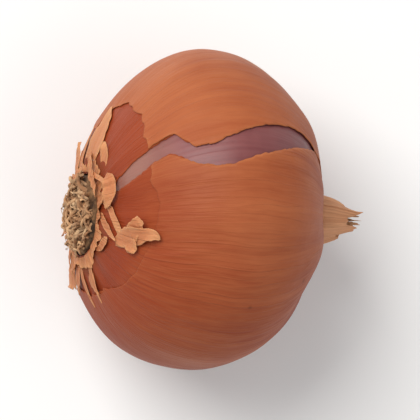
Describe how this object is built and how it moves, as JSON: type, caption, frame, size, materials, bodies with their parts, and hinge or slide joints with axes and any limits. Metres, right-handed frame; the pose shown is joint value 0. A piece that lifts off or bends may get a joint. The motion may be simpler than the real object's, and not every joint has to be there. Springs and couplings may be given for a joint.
{
  "type": "shallot",
  "caption": "Round copper-skinned shallot lying on its side, with a split in its dry skin, torn skin scraps, a short dried neck and a corky root crown.",
  "frame": {"origin": "on the surface that the shallot lies on, under the middle of its bounding box", "axes": "+Z up; the bulb's own axis lies nearly along X, roots towards -X and raised by 14 degrees, neck towards +X; seen from above +Y is up"},
  "size_m": [0.0436, 0.0444, 0.0429],
  "materials": {
    "dry_skin": "thin papery dry skin with a satin sheen, veined from root to neck",
    "root_cork": "matte, corky and fibrous, with traces of soil"
  },
  "bodies": {
    "root": {"bulb": "dry_skin", "root_crown": "root_cork"}
  },
  "joints": []
}
